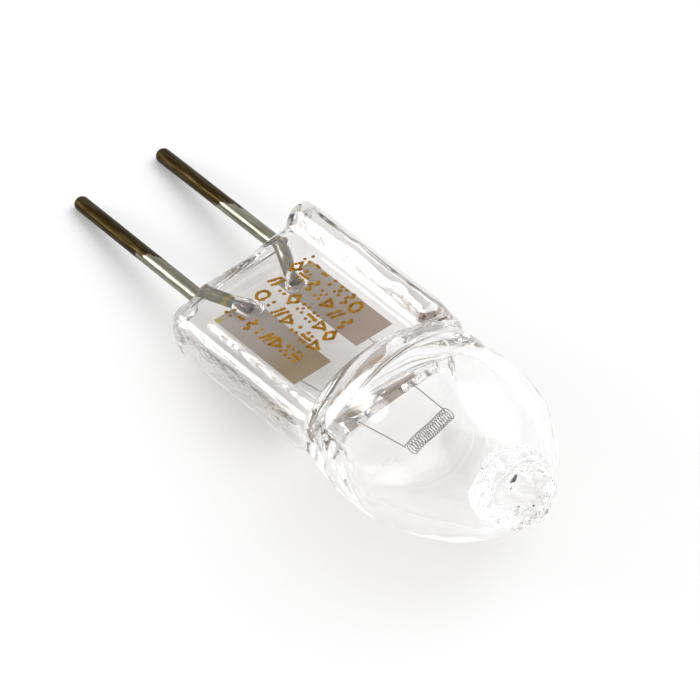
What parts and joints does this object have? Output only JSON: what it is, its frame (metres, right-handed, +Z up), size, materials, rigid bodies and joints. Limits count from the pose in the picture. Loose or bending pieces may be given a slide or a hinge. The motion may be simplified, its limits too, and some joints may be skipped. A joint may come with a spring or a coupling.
{
  "type": "halogen capsule lamp",
  "caption": "Clear quartz halogen capsule with an ovoid bulb, a melted exhaust tip, a ribbed press seal, a coiled filament and parallel contact pins.",
  "frame": {"origin": "on the table, below the middle of the lamp's length and midway between its pins", "axes": "+X from the pin tips towards the dome's exhaust tip, +Y from the left pin to the right pin, +Z up; the lamp's own axis rises from the pins to the dome"},
  "size_m": [0.041, 0.0126, 0.0127],
  "materials": {
    "quartz": "clear",
    "pin_metal": "drawn wire with a dark oxide film",
    "foil": "satin",
    "tungsten": "satin"
  },
  "bodies": {
    "root": {"quartz_envelope": "quartz", "contact_pin_left": "pin_metal", "contact_pin_right": "pin_metal", "seal_foil_left": "foil", "seal_foil_right": "foil", "filament": "tungsten"}
  },
  "joints": []
}
